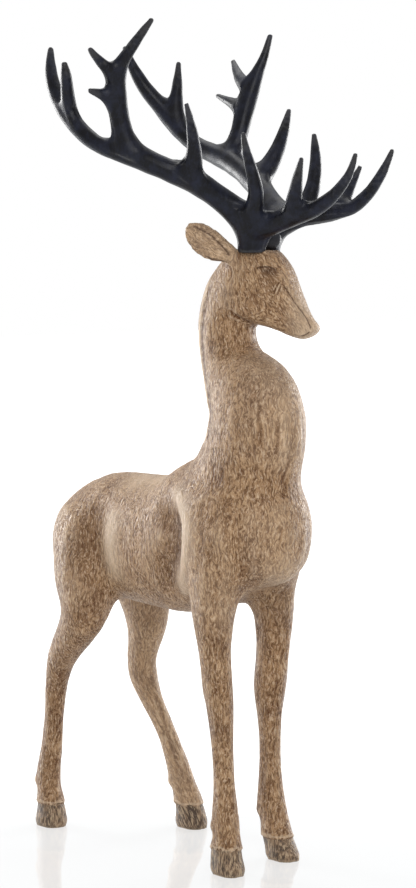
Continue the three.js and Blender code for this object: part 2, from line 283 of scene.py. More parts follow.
# %% Two cuts
def groove(points, normals, rows, width, depth, soft):
    """Cuts along a line. The last number is the share of the line that fades at each end."""
    far, share, _, _ = nearest(points, through(rows))
    cut = around(far, width) * fade(share, soft)
    points -= normals * (cut * depth)[:, None]
    return cut


def ledge(points, normals, rows, width, height, soft):
    """Raises the side to the left of the line's course, seen from outside, and sinks the other."""
    far, share, away, course = nearest(points, through(rows))
    side = np.einsum("ij,ij->i", away, np.cross(normals, course)) / width
    lift = side * np.exp(0.5 - 0.5 * (far / width) ** 2) * fade(share, soft)
    points += normals * (lift * height)[:, None]
    return lift


# %% [markdown]
# ## The large forms of the body
# Behind the shoulder the barrel sinks in, and before the thigh the flank is hollow. Light from behind
# catches both edges on the real piece, so they are cut as real steps in the skin. A cut by itself
# leaves creases where it meets the next one. So all of them are made first, and then every point's
# whole move is spread over its neighbours. Two paint masks are gathered on the way. One holds the
# stain of the chest lines, and painted shade in the hollow behind the shoulder and on the sunk side
# of each step. The other holds a painted highlight on each step's raised side, where the light from
# behind catches it.

# %% Shoulder, flank and chest
SHOULDER = [(-12.6, -9.0, 266.3), (-15.9, -21.6, 261.1), (-20.0, -33.9, 252.5), (-23.2, -41.7, 244.2),
            (-22.5, -40.6, 232.0), (-19.3, -34.7, 221.8), (-15.8, -26.5, 211.3), (-11.8, -22.1, 201.9),
            (-4.7, -19.1, 191.5)]
FLANK = [(-7.2, 52.3, 261.5), (-13.4, 56.5, 251.3), (-16.7, 59.5, 240.9), (-17.8, 60.5, 230.5),
         (-17.8, 59.9, 219.4), (-16.6, 59.2, 209.7), (-14.4, 56.6, 200.2), (-9.4, 55.9, 190.9)]
CHEST_V = [(5.8, -101.7, 284.0), (2.4, -99.3, 272.1), (-5.9, -95.1, 263.3), (-11.5, -91.0, 256.3),
           (-15.3, -90.1, 244.0)]
CHEST_SIDE = [(38.0, -98.0, 285.0), (34.3, -101.2, 272.1), (22.6, -108.0, 262.3)]
BEHIND_IN = 1.5
BEHIND_BACK = 11

# Width, depth or height in mm, and the share that fades.
BEHIND_CUT = (13.0, 3.2, 0.3)
SHOULDER_STEP = (8.0, 3.6, 0.2)
FLANK_STEP = (11.0, 1.4, 0.25)
FLANK_CUT = (10.0, 3.4, 0.3)
CHEST_CUT = (3.0, 0.6, 0.2)

# Share of darkening that a full cut or step keeps: painted shade behind the shoulder and on the sunk
# sides of the steps, stain in the chest lines.
BEHIND_SHADE = 0.5
SHOULDER_SHADE = 0.7
FLANK_SHADE = 0.5
CHEST_STAIN = 0.3

points = read(coat, "co") / MM
normals = read(coat, "normal")
start = points.copy()
shade = np.zeros(len(points))
highlight_and_pale = np.zeros(len(points))
behind = [(x + BEHIND_IN, y + BEHIND_BACK, z) for x, y, z in SHOULDER]
# The hollow behind the shoulder is painted with shade.
for rows in (behind, other_side(behind)):
    shade = np.maximum(shade, BEHIND_SHADE * groove(points, normals, rows, *BEHIND_CUT))
# Each step gets painted shade on its sunk side and a painted highlight on its raised side.
for rows in (SHOULDER, other_side(SHOULDER)):
    lift = ledge(points, normals, rows, *SHOULDER_STEP)
    shade = np.maximum(shade, -SHOULDER_SHADE * lift)
    highlight_and_pale = np.maximum(highlight_and_pale, lift)
for rows in (FLANK, other_side(FLANK)):
    lift = ledge(points, normals, rows, *FLANK_STEP)
    shade = np.maximum(shade, -FLANK_SHADE * lift)
    highlight_and_pale = np.maximum(highlight_and_pale, lift)
    groove(points, normals, rows, *FLANK_CUT)
for rows in (CHEST_V, CHEST_SIDE):
    shade = np.maximum(shade, CHEST_STAIN * groove(points, normals, rows, *CHEST_CUT))
print("deepest move", round(float(length(points - start).max()), 2), "mm")

# %% Spreading the moves
MOVE_ROUNDS = 12
MASK_ROUNDS = 8
LARGE_ROUNDS = 7
FULLER = 0.3
LEGS_FULLER = 0.5
LEGS_BELOW = (200, 150)

joined = neighbours(coat)
points = start + spread(points - start, joined, MOVE_ROUNDS)
shade, highlight_and_pale = spread(np.stack([shade, highlight_and_pale], axis=1), joined, MASK_ROUNDS).T
points += normals * (FULLER + LEGS_FULLER * ease(points[:, 2], *LEGS_BELOW))[:, None]
write(coat, points)
smooth(coat, LARGE_ROUNDS)
points = read(coat, "co") / MM
normals = read(coat, "normal")
print("large forms cut, over", len(points), "points")

# %% [markdown]
# ## Grooves of the neck and the legs
# Long shallow gouge marks run down the throat and along the shanks, as if a chisel had followed the
# sinews. On both sides of the nape a narrow step runs down the neck, painted pale along its raised
# side as a highlight and painted with shade along its low side. Painted lines alone would do from
# afar, but light from behind shows the real ones, so they are cut. The four fetlocks each get two
# small knobs at the back.

# %% Gouge marks
NECK_LINES = [
    [(-1.5, -94.1, 343.1), (-0.5, -99.3, 335.0), (-2.1, -100.1, 326.1), (-1.5, -101.5, 316.4),
     (-1.3, -101.4, 307.4), (0.2, -101.8, 299.7)],
    [(8.4, -108.0, 330.2), (8.2, -109.3, 317.8), (7.4, -108.3, 306.0), (6.3, -105.3, 294.7)],
]
THROAT = [(17.0, -111.9, 324.4), (18.5, -112.4, 313.2), (18.2, -110.7, 299.9), (18.1, -105.7, 283.4)]
MANE = [(8.4, -39.8, 424.8), (5.0, -38.2, 416.3), (2.9, -33.7, 397.1), (2.5, -32.4, 385.7),
        (2.2, -32.8, 373.7), (0.8, -36.2, 361.8), (-1.0, -41.0, 349.3), (-3.0, -46.1, 339.1),
        (-3.8, -48.2, 318.0), (-5.4, -48.0, 308.8), (-4.4, -41.8, 301.3)]
SHANK_LINES = [
    [(52.2, 89.9, 104.2), (56.1, 82.5, 93.9), (56.3, 75.5, 79.5), (56.9, 67.9, 62.0),
     (58.2, 61.1, 49.0), (61.1, 55.1, 34.2)],
    [(44.1, -52.0, 90.4), (44.6, -53.6, 72.3), (44.2, -52.0, 53.7), (44.0, -49.0, 38.4)],
]
NECK_CUT = (1.8, 0.4, 0.3)
THROAT_CUT = (1.8, 0.3, 0.3)
MANE_STEP = (2.2, -0.5, 0.15)
SHANK_CUT = (1.4, 0.6, 0.2)
NECK_STAIN = 0.35
THROAT_STAIN = 0.25
MANE_SHADE = 0.7
MANE_HIGHLIGHT = 1.6
SHANK_STAIN = 0.4

for rows in NECK_LINES:
    for side in (rows, other_side(rows)):
        shade = np.maximum(shade, NECK_STAIN * groove(points, normals, side, *NECK_CUT))
shade = np.maximum(shade, THROAT_STAIN * groove(points, normals, THROAT, *THROAT_CUT))
# Along the nape: painted shade on the low side of the step, a painted highlight on the raised one.
for rows in (MANE, other_side(MANE)):
    lift = ledge(points, normals, rows, *MANE_STEP)
    shade = np.maximum(shade, MANE_SHADE * lift)
    highlight_and_pale = np.maximum(highlight_and_pale, -MANE_HIGHLIGHT * lift)
for rows in SHANK_LINES:
    shade = np.maximum(shade, SHANK_STAIN * groove(points, normals, rows, *SHANK_CUT))
# Counts the points of the nape that carry the painted highlight.
print("points of the nape that are rubbed pale", int((highlight_and_pale[points[:, 2] > 300] > 0.5).sum()))

# %% Fetlocks
FETLOCKS = [(-7.0, -71.0), (52.6, -53.0), (-9.8, 135.0), (64.5, 64.5)]
KNOBS_ASIDE = 5.8
KNOBS_BACK = 8.0
KNOBS_UP = 34.0
KNOBS_WIDTH = 4.2
KNOBS_OUT = 1.6

for x, y in FETLOCKS:
    for side in (1, -1):
        knob = np.array([x + KNOBS_ASIDE * side, y + KNOBS_BACK, KNOBS_UP])
        points += normals * (KNOBS_OUT * around(length(points - knob), KNOBS_WIDTH))[:, None]
print("fetlocks", len(FETLOCKS))

# %% [markdown]
# ## The face
# The face is plain: a shallow three-cornered socket with no eyeball, a brow over it, a flat bridge
# with a ridge line down to the blunt nose, a mouth line and a cheek that lies over the neck. The
# lines are drawn on the head's right side, in the head's own directions, and cut on both.

# %% Face lines
CHEEK = [(-18.6, 7.1, 399.3), (-16.2, 12.2, 395.1), (-12.2, 17.2, 391.9), (-9.9, 21.6, 390.4)]
NOSE_RIDGE = [(-13.1, 45.1, 420.0), (-10.5, 49.7, 413.1), (-8.0, 55.1, 404.4), (-5.7, 60.6, 396.4),
              (-6.2, 65.1, 389.2), (-7.1, 66.4, 385.4)]
MOUTH = [(-7.1, 66.4, 385.4), (-7.7, 62.8, 382.5), (-7.7, 58.1, 381.0)]
BROW = [(-18.1, 27.3, 428.3), (-16.2, 32.6, 429.7), (-14.2, 37.9, 429.7), (-12.0, 42.2, 427.6)]
LASHES = [
    [(-13.0, 45.1, 420.5), (-15.3, 43.1, 415.2), (-16.2, 41.3, 411.0)],
    [(-12.0, 46.4, 419.0), (-14.0, 45.0, 414.0), (-15.0, 43.6, 409.5)],
]
# Line, its cut and its share of the stain.
FACE_CUTS = [
    (NOSE_RIDGE, (0.9, 0.6, 0.15), 1.0),
    (MOUTH, (0.9, 0.5, 0.15), 1.0),
    (BROW, (1.2, 0.15, 0.15), 1.0),
    (CHEEK, (1.5, 0.9, 0.15), 0.7),
    (LASHES[0], (0.7, 0.7, 0.2), 0.8),
    (LASHES[1], (0.7, 0.7, 0.2), 0.8),
]
for side in (1, -1):
    for rows, cut, stain in FACE_CUTS:
        shade = np.maximum(shade, stain * groove(points, normals, on_head(rows, side), *cut))
print("face lines cut", 2 * len(FACE_CUTS))

# %% Eye sockets
SOCKET = [(31, 430), (42.5, 429.5), (45, 419), (41, 409.5), (36, 412), (32.5, 420.5)]
SOCKET_DEEP = 2.2
SOCKET_ASIDE = 8
SOCKET_RIM = (-1.2, 1.6)
SOCKET_SLOPE = (-2.5, 4.0)
SHALLOW_TOP = (419, 428)
SHALLOWER = 0.75
STAIN_TOP = (419, 429)
STAIN_LOW, STAIN_MORE = 0.5, 0.3


def inward(flat, corners):
    """How far inside a convex outline each point lies."""
    least = np.full(len(flat), np.inf)
    for a, b in zip(corners, corners[1:] + corners[:1]):
        run = np.array(b, float) - a
        step = ((flat[:, 0] - a[0]) * run[1] - (flat[:, 1] - a[1]) * run[0]) / length(run)
        least = np.minimum(least, step)
    return least


across, forward, up = head_places(points)
inside = inward(np.stack([forward, up], axis=1), SOCKET)
aside = np.abs(across) > SOCKET_ASIDE
socket = ease(inside, *SOCKET_RIM) * aside
deep = ease(inside, *SOCKET_SLOPE) * (1 - SHALLOWER * ease(up, *SHALLOW_TOP)) * aside
points -= normals * (deep * SOCKET_DEEP)[:, None]
shade = np.maximum(shade, socket * (STAIN_LOW + STAIN_MORE * ease(up, *STAIN_TOP)))
print("points in the sockets", int((socket > 0.5).sum()))

# %% [markdown]
# ## The ears
# Each ear is a leaf with a fold near its upper and its lower rim. The rims are thin, and a cut by
# distance alone would come out on the back too. So a fold is measured flat, as seen square to the
# ear, and only skin that faces that way is cut. The rims are evened afterwards.

# %% Ear folds
EAR_UPPER = [(-42.5, -10.3, 459.0), (-39.4, -6.4, 457.2), (-35.8, -2.0, 454.4), (-32.4, 1.7, 450.9),
             (-29.3, 4.8, 447.1), (-24.5, 8.6, 441.1), (-20.6, 11.7, 435.1)]
EAR_LOWER = [(-34.5, -3.5, 438.7), (-30.5, -0.1, 435.2), (-26.0, 3.9, 433.8), (-22.0, 7.3, 433.0)]
EAR_FOLDS = [(EAR_UPPER, 1.2, 0.9), (EAR_LOWER, 1.0, 0.6)]
EAR_OUT = np.array([0.711, 0.690, -0.121])
EAR_FACING = (0.0, 0.4)
EAR_FROM = 17
EAR_ABOVE = 428
EAR_FADE = 0.1
EAR_STAIN = 0.9
STAIN_WIDER = 1.1
EARS_ASIDE = (17, 21)
EARS_UP = (426, 430)
EAR_ROUNDS = 12

for side in (1, -1):
    out = HEAD_FORWARD * EAR_OUT[1] - HEAD_LEFT * EAR_OUT[0] * side + np.array([0, 0, EAR_OUT[2]])
    flat = points - np.outer(points @ out, out)
    facing = ease(normals @ out, *EAR_FACING) * (across * side < -EAR_FROM) * (up > EAR_ABOVE)
    for rows, width, depth in EAR_FOLDS:
        line = through(np.array(on_head(rows, side)))
        line -= np.outer(line @ out, out)
        far, share, _, _ = nearest(flat, line)
        there = fade(share, EAR_FADE) * facing
        points -= normals * (around(far, width) * there * depth)[:, None]
        stain = np.exp(-((far / width / STAIN_WIDER) ** 4))
        shade = np.maximum(shade, EAR_STAIN * stain * there)
ears = ease(np.abs(across), *EARS_ASIDE) * ease(up, *EARS_UP)
points = evened(points, joined, ears, EAR_ROUNDS)
write(coat, points)
print("points in the ear folds", int((shade[ears > 0.5] > 0.5).sum()))

# %% [markdown]
# ## Hooves
# The coat ends in a ragged rim that hangs a little over the dark horn. The rim's height wanders from
# point to point, the horn is drawn in under it, and the sole is flat on the table. Separate hooves
# would need a seam to hide, so they are shaped in the same skin, and a mask keeps where the horn is.

# %% Hooves under a ragged rim
HOOVES = {"fore_right": (-6.0, -72.8, 18.6), "fore_left": (53.4, -65.0, 16.4),
          "hind_right": (-10.2, 131.2, 18.2), "hind_left": (68.4, 57.4, 18.6)}
HOOF_REACH = 24
HOOF_TOP = 28
RIM_RAGGED = 1.2
RIM_WAVES = 2.6
RIM_OUT = 0.7
RIM_FADE = 2.5
RIM_BLEND = 0.4
HORN_IN = 0.7
HORN_HIGH = 15
SOLE = 0.9
SOLE_FACING = -0.3

normals = read(coat, "normal")
horn = np.zeros(len(points))
for x, y, rim in HOOVES.values():
    spot = points - np.array([x, y, 0])
    near = (length(spot[:, :2]) < HOOF_REACH) & (spot[:, 2] < HOOF_TOP)
    angle = np.arctan2(spot[:, 1], spot[:, 0])
    wander = np.array([noise.noise((RIM_WAVES * math.cos(a), RIM_WAVES * math.sin(a), x)) if n else 0
                       for a, n in zip(angle, near)])
    above = spot[:, 2] - (rim + RIM_RAGGED * wander)
    out = np.where(above > 0, RIM_OUT * np.exp(-above / RIM_FADE),
                   -HORN_IN * ease(above, -HORN_HIGH, 0))
    level = normals * [1, 1, 0]
    points += level * (np.where(near, out, 0))[:, None]
    horn = np.where(near, ease(above, RIM_BLEND, -RIM_BLEND), horn)
soles = (points[:, 2] < SOLE) & (normals[:, 2] < SOLE_FACING)
points[soles, 2] = 0
write(coat, points)
print("points of horn", int((horn > 0.5).sum()))

# %% [markdown]
# ## Which way the hair lies
# The cut strokes run down the trunk and the legs, along the nose, out along each ear and along the
# slanting shank. Each point gets a place of its own, in millimetres, whose third number runs with the
# hair. It is a plain copy of the point's place, turned about a joint, and it fades from one part to
# the next. On the nose and the ears the places also run a little faster, which makes finer strokes.
# An unwrapped map could carry the strokes too, but it would have seams. The relief here and the paint
# later both read these places.

# %% Places along the hair
CHEEK_TO_NOSE = [(0, 18, 408), (0, 42, 376)]
NOSE_SLANT, NOSE_LEVEL = 0.3, 400
NOSE_FORWARD = (14, 46)
NOSE_UP = (372, 386)
NOSE_FINER = 1.15
EAR_COURSE = [(-14, 12, 434), (-42, -13, 459)]
EAR_ALONG = (1, 10)
EAR_ASIDE = (14, 20)
EAR_UP = (424, 432)
EAR_FINER = 1.2
HOCK, FETLOCK = (57.3, 102.6, 113.4), (65.7, 62.4, 30.0)
SHANK_BELOW = (125, 100)
SHANK_BACK = (20, 34)
SHANK_ASIDE = (24, 34)


def turned(points, pivot, course):
    """Places turned about a pivot until the course points straight down."""
    turn = Vector(course).rotation_difference(Vector((0, 0, -1))).to_matrix()
    return pivot + (points - pivot) @ np.array(turn).T


def lay(hair, points, start, end, weight, finer=1.0):
    start, end = np.array(start, float), np.array(end, float)
    w = weight[:, None]
    places = start + (turned(points, start, end - start) - start) * finer
    return hair * (1 - w) + places * w


across, forward, up = head_places(points)
hair = points.copy()
cheek, nose = on_head(CHEEK_TO_NOSE, 1)
slanted = forward + NOSE_SLANT * (up - NOSE_LEVEL)
face = ease(slanted, *NOSE_FORWARD) * ease(up, *NOSE_UP)
hair = lay(hair, points, cheek, nose, face, NOSE_FINER)
for side in (1, -1):
    root, tip = on_head(EAR_COURSE, side)[::side]
    along = (points - root) @ (tip - root) / length(tip - root)
    ear = ease(along, *EAR_ALONG) * ease(np.abs(across), *EAR_ASIDE) * ease(up, *EAR_UP)
    hair = lay(hair, points, root, tip, ear, EAR_FINER)
shank = (ease(points[:, 2], *SHANK_BELOW) * ease(points[:, 1], *SHANK_BACK)
         * ease(points[:, 0], *SHANK_ASIDE))
hair = lay(hair, points, HOCK, FETLOCK, shank)
print("points where the hair leaves its upright course", int((length(hair - points) > 1).sum()))

# %% Relief of the strokes
# Width, length and shift of the ripples, then their height in mm.
FINE_RIPPLE, FINE_HIGH = (3.2, 9, 3.0), 0.2
BROAD_RIPPLE, BROAD_HIGH = (8, 28, 8.0), 0.4
HORN_PLAIN = 0.6
SOCKET_PLAIN = 0.8
EARS_PLAIN = 0.8
CROWN = (439.5, 440.6)


def ripple(places, width, long, seed):
    scaled = places / np.array([width, width, long]) + seed
    return np.array([noise.noise(p) for p in scaled.tolist()])


normals = read(coat, "normal")
plain = np.maximum.reduce([horn * HORN_PLAIN, socket * SOCKET_PLAIN, ears * EARS_PLAIN,
                           ease(points[:, 2], *CROWN)])
relief = FINE_HIGH * ripple(hair, *FINE_RIPPLE) + BROAD_HIGH * ripple(hair, *BROAD_RIPPLE)
points += normals * (relief * (1 - plain))[:, None]
points[:, 2] = np.maximum(points[:, 2], 0)
write(coat, points)
print("relief", round(float(relief.min()), 2), "to", round(float(relief.max()), 2), "mm")

# %% [markdown]
# ## Where paint rubs off and where stain stays
# A painter wipes the stain off again: it stays in hollows and leaves edges pale. How much each point
# stands proud of its neighbours is measured on the finished mesh, once close by and once more widely,
# and kept with the points for the materials. On a thin leg every point stands proud, so the close
# measure is counted from its own mean round about. The withers, the muzzle and the far hind leg get
# painted highlights, the ears are painted paler and the legs darker below the trunk. On the left
# side, which shows less, the painted highlights of the trunk are weaker than on the right.

# %% Proud and hollow places
def proud(piece, rounds):
    """Millimetres by which points stand over the smoothed skin."""
    co, out, pairs = read(piece, "co") / MM, read(piece, "normal"), neighbours(piece)
    return np.einsum("ij,ij->i", co - spread(co, pairs, rounds), out)


def keep(piece, name, values):
    kind = "FLOAT" if values.ndim == 1 else "FLOAT_VECTOR"
    layer = piece.data.attributes.new(name, kind, "POINT")
    layer.data.foreach_set("value" if values.ndim == 1 else "vector",
                           values.astype(np.float32).ravel())


# %% Stained and worn parts
FAR_HIND_X, FAR_HIND_Y = (20, 30), (10, 30)
NEAR_HIND_Y = (60, 80)
LEGS_UP = (215, 165)
LEGS_DARKER, NEAR_HIND_DARKER = 0.08, 0.14
FAR_HIND_LIT = 0.3
LEFT_LESS = 0.8
LEFT_FROM = (MIDDLE, MIDDLE + 15)
TRUNK_BELOW = (300, 280)
MUZZLE_LIT = 0.6
MUZZLE_FORWARD = (44, 60)
MUZZLE_UP = (372, 380)
EARS_PALER = 0.4
WITHERS = [(7, 40, 272), (7, 20, 274)]
WITHERS_HIGHLIGHT = 0.9
WITHERS_WIDTH = 16

x, y, z = points.T
# Below the trunk the legs are painted darker, the near hind leg most; the far hind leg is left out.
legs = ease(z, *LEGS_UP)
far_hind = ease(x, *FAR_HIND_X) * ease(y, *FAR_HIND_Y)
near_hind = ease(y, *NEAR_HIND_Y) * (1 - far_hind)
leg_darkening = (LEGS_DARKER + NEAR_HIND_DARKER * near_hind) * legs * (1 - far_hind)
shade = np.maximum(shade, leg_darkening)
# The painted highlights are weaker on the left side of the trunk.
highlight_and_pale *= 1 - LEFT_LESS * ease(x, *LEFT_FROM) * ease(z, *TRUNK_BELOW)
# Painted highlights on the muzzle, the withers and the far hind leg, and paler paint on the ears.
muzzle = ease(forward, *MUZZLE_FORWARD) * ease(up, *MUZZLE_UP)
withers = [WITHERS_HIGHLIGHT * around(length(points - place), WITHERS_WIDTH) for place in WITHERS]
highlight_and_pale = np.maximum.reduce([highlight_and_pale, MUZZLE_LIT * muzzle, EARS_PALER * ears,
                          FAR_HIND_LIT * far_hind * legs] + withers)
# One mask holds stain together with painted shade, the other painted highlights and paler paint.
keep(coat, "hair", hair)
keep(coat, "shade", np.clip(shade, 0, 1))
keep(coat, "highlight_and_pale", np.clip(highlight_and_pale, 0, 1))
print("mean stain", round(float(shade.mean()), 3), "and wear", round(float(highlight_and_pale.mean()), 3))

# %% Edges and swellings
CLOSE_ROUNDS = 3
MEAN_ROUNDS = 12
EDGE_FULL = 0.2
WIDE_ROUNDS = 40
SWELL_FULL = 1.6
EAR_EDGE_LESS = 0.8
EAR_SWELL_LESS = 0.9
SWELL_UP = (150, 210)

close = proud(coat, CLOSE_ROUNDS)[:, None]
close = (close - spread(close, joined, MEAN_ROUNDS))[:, 0]
edge = np.clip(close / EDGE_FULL, -1, 1) * (1 - EAR_EDGE_LESS * ears)
swell = np.clip(proud(coat, WIDE_ROUNDS) / SWELL_FULL, -1, 1)
swell = swell * (1 - EAR_SWELL_LESS * ears) * ease(z, *SWELL_UP)
keep(coat, "edge", edge)
keep(coat, "swell", swell)
print("points on edges", int((edge > 0.5).sum()), "and on swellings", int((swell > 0.5).sum()))

# %% [markdown]
# ## Antlers
# Each antler is a separate casting in a dark satin finish. Its tines are round and blunt at the tip,
# with shallow flutes along the beams. The skin gets the same treatment as the coat, with a finer net
# because the tips are only 2 mm thick. The foot is sunk a little towards the crown, and the left one
# has a round knob at the front.

# %% Two antlers
ANTLER_NET = 0.9 * MM
ANTLER_ROUNDS = 3
ANTLER_FULLER = FULLER + 0.05
WAVE = (9, 9, 5.0)
WAVE_HIGH = 0.25
WAVE_ABOVE = (442, 444)
SUNK = 1.4
SUNK_BELOW = (443.5, 441.8)
KNOB = np.array([35.9, -68.0, 448.6])
KNOB_SIZE = 8.2
KNOB_MOST = 4
KNOB_FACING = (0.8, 0.2)
KNOB_ASIDE = (28.5, 30)
ANTLER_EDGE_ROUNDS = 4
ANTLER_EDGE_FULL = 0.3

antlers = [skin_of("antler_right", "right_antler", ANTLER_NET, ANTLER_ROUNDS),
           skin_of("antler_left", "left_antler", ANTLER_NET, ANTLER_ROUNDS)]
for antler in antlers:
    spots = read(antler, "co") / MM
    out = read(antler, "normal")
    wave = WAVE_HIGH * ripple(spots, *WAVE)
    spots += out * (ANTLER_FULLER + wave * ease(spots[:, 2], *WAVE_ABOVE))[:, None]
    spots[:, 2] -= SUNK * ease(spots[:, 2], *SUNK_BELOW)
    reach = length(spots - KNOB)
    front = ease(out @ np.array(GAZE), *KNOB_FACING) * ease(spots[:, 0], *KNOB_ASIDE)
    push = np.clip(KNOB_SIZE - reach, 0, KNOB_MOST) * front
    spots += (spots - KNOB) * (push / reach)[:, None]
    write(antler, spots)
    edge = proud(antler, ANTLER_EDGE_ROUNDS) / ANTLER_EDGE_FULL
    keep(antler, "edge", np.clip(edge, -1, 1))
    print(antler.name, "pushed out at the knob by up to", round(float(push.max()), 2), "mm")

# %% [markdown]
# ## Effects that several finishes share
# Strokes, stains and pale edges are wanted on the coat, the hooves and the antlers, so each is a node
# group with named sockets. Pale edges are wiped paint on the coat and the hooves, and a painted
# highlight on the antlers. A group gives only masks and heights; the shader stays in each material.

# %% Building nodes
def paint(red, green, blue):
    """A colour as a picture shows it, made linear for the shader."""
    return [((c / 255 + 0.055) / 1.055) ** 2.4 for c in (red, green, blue)] + [1.0]


def add(tree, kind, inputs=None, **settings):
    node = tree.nodes.new(kind)
    for name, value in settings.items():
        setattr(node, name, value)
    for name, value in (inputs or {}).items():
        if isinstance(value, bpy.types.NodeSocket):
            tree.links.new(value, node.inputs[name])
        else:
            node.inputs[name].default_value = value
    return node


def maths(tree, operation, *values):
    return add(tree, "ShaderNodeMath", dict(enumerate(values)), operation=operation).outputs[0]


def vectors(tree, operation, *values):
    return add(tree, "ShaderNodeVectorMath", dict(enumerate(values)), operation=operation).outputs[0]


def between(tree, value, low, high, to_low=0.0, to_high=1.0):
    return add(tree, "ShaderNodeMapRange",
               {"Value": value, "From Min": low, "From Max": high, "To Min": to_low,
                "To Max": to_high}, interpolation_type="SMOOTHSTEP").outputs[0]


def blend(tree, share, under, over):
    """Mixes two colours. A colour mix has its colours in sockets 6 and 7, its result in 2."""
    return add(tree, "ShaderNodeMix", {0: share, 6: under, 7: over}, data_type="RGBA").outputs[2]


def layered(tree, tone, layers):
    """Mixes colour after colour over the last, each by a share of its mask."""
    for mask, share, colour in layers:
        tone = blend(tree, maths(tree, "MULTIPLY", mask, share), tone, colour)
    return tone


# %% Starting a group
FLOAT, VECTOR = "NodeSocketFloat", "NodeSocketVector"


def group(name, inputs, outputs):
    tree = bpy.data.node_groups.new(name, "ShaderNodeTree")
    for label, kind, start in inputs:
        made = tree.interface.new_socket(label, in_out="INPUT", socket_type=kind)
        if start is not None:
            made.default_value = start
    for label in outputs:
        tree.interface.new_socket(label, in_out="OUTPUT", socket_type=FLOAT)
    return tree, tree.nodes.new("NodeGroupInput").outputs, tree.nodes.new("NodeGroupOutput").inputs


# %% Strokes of a fine gouge
SWAY_SCALE = 0.09
STROKE_RISE = (0.28, 0.72)
STROKE_CUT = (0.46, 0.38)

strokes, given, result = group(
    "strokes", [("Place", VECTOR, None), ("Width", FLOAT, 1.0), ("Length", FLOAT, 6.0),
                ("Sway", FLOAT, 2.0), ("Shift", FLOAT, 0.0)], ["Height", "Cut"])
sway = add(strokes, "ShaderNodeTexNoise",
           {"Vector": given["Place"], "Scale": SWAY_SCALE, "Detail": 4.0}).outputs["Color"]
centred = vectors(strokes, "SUBTRACT", sway, (0.5, 0.5, 0.5))
pushed = add(strokes, "ShaderNodeVectorMath", {0: centred, "Scale": given["Sway"]},
             operation="SCALE").outputs[0]
size = add(strokes, "ShaderNodeCombineXYZ",
           {"X": given["Width"], "Y": given["Width"], "Z": given["Length"]}).outputs[0]
scaled = vectors(strokes, "DIVIDE", vectors(strokes, "ADD", given["Place"], pushed), size)
shifted = vectors(strokes, "ADD", scaled, given["Shift"])
grain = add(strokes, "ShaderNodeTexNoise",
            {"Vector": shifted, "Scale": 1.0, "Detail": 2.0, "Roughness": 0.6}).outputs["Fac"]
strokes.links.new(between(strokes, grain, *STROKE_RISE), result["Height"])
strokes.links.new(between(strokes, grain, *STROKE_CUT), result["Cut"])
print("strokes", len(strokes.nodes), "nodes")

# %% Blotches of stain
blotches, given, result = group(
    "blotches", [("Place", VECTOR, None), ("Size", FLOAT, 20.0), ("Low", FLOAT, 0.5),
                 ("High", FLOAT, 0.65)], ["Mask"])
scaled = vectors(blotches, "DIVIDE", given["Place"], given["Size"])
cloud = add(blotches, "ShaderNodeTexNoise",
            {"Vector": scaled, "Scale": 1.0, "Detail": 5.0, "Roughness": 0.62}).outputs["Fac"]
ranged = add(blotches, "ShaderNodeMapRange",
             {"Value": cloud, "From Min": given["Low"], "From Max": given["High"]}).outputs[0]
blotches.links.new(ranged, result["Mask"])
print("blotches", len(blotches.nodes), "nodes")

# %% Rubbed edges, on the antlers a painted highlight
BREAKS_SCALE = 0.35
RUBBED = (0.0, 0.6)
RECESSED = (-0.05, -0.7)

rubbed_and_lit, given, result = group(
    "rubbed_and_lit", [("Edge", FLOAT, 0.0), ("Breaks", FLOAT, 0.5), ("Place", VECTOR, None)],
    ["Mask", "Recess"])
broken = add(rubbed_and_lit, "ShaderNodeTexNoise",
             {"Vector": given["Place"], "Scale": BREAKS_SCALE, "Detail": 4.0}).outputs["Fac"]
kept = maths(rubbed_and_lit, "SUBTRACT", given["Edge"], maths(rubbed_and_lit, "MULTIPLY", given["Breaks"], broken))
rubbed_and_lit.links.new(between(rubbed_and_lit, kept, *RUBBED), result["Mask"])
rubbed_and_lit.links.new(between(rubbed_and_lit, given["Edge"], *RECESSED), result["Recess"])
print("rubbed_and_lit", len(rubbed_and_lit.nodes), "nodes")

# %% [markdown]
# ## The coat's stained finish
# The resin is painted a warm tan, dark stain is wiped into the strokes and left in patches, and a dry
# brush leaves pale tips. Over these come painted shade in the hollows of the large forms and on the
# sunk sides of the steps, and painted highlights on the edges that the light from behind catches, on
# the withers and on the muzzle. A scanned texture would show its repeats, so the strokes come from
# noise that is drawn out along the hair. Every layer is one mix over the last, in the order a painter
# works.

# %% Starting a material
def material(name):
    made = bpy.data.materials.new(name)
    made.use_nodes = True
    tree = made.node_tree
    tree.nodes.clear()
    shader = tree.nodes.new("ShaderNodeBsdfPrincipled")
    out = tree.nodes.new("ShaderNodeOutputMaterial")
    tree.links.new(shader.outputs[0], out.inputs[0])
    return made, tree, shader.inputs


def use(tree, made_group, inputs):
    return add(tree, "ShaderNodeGroup", inputs, node_tree=made_group).outputs


def attribute(tree, name, output="Fac"):
    return add(tree, "ShaderNodeAttribute", attribute_name=name).outputs[output]


def bump(tree, height, strength, distance):
    """Strength, then depth in mm."""
    return add(tree, "ShaderNodeBump", {"Height": height, "Strength": strength,
                                        "Distance": distance * MM}).outputs[0]


# %% Coat
TAN = paint(180, 146, 110)
TAN_WARM = paint(156, 121, 86)
STAIN_AND_SHADE = paint(88, 53, 26)
PALE = paint(215, 190, 162)
LINE_AND_DEEP_SHADE = paint(66, 42, 22)
TIPS = (0.62, 1.0)
SWELLING = (0.1, 1.0)
DEEPEST = (0.55, 0.95)
FINE_SHARE = (0.62, 0.95)
COAT_ROUGHNESS = (0.56, 0.38)

coat_finish, tree, shader = material("stained_coat")
lie = attribute(tree, "hair", "Vector")
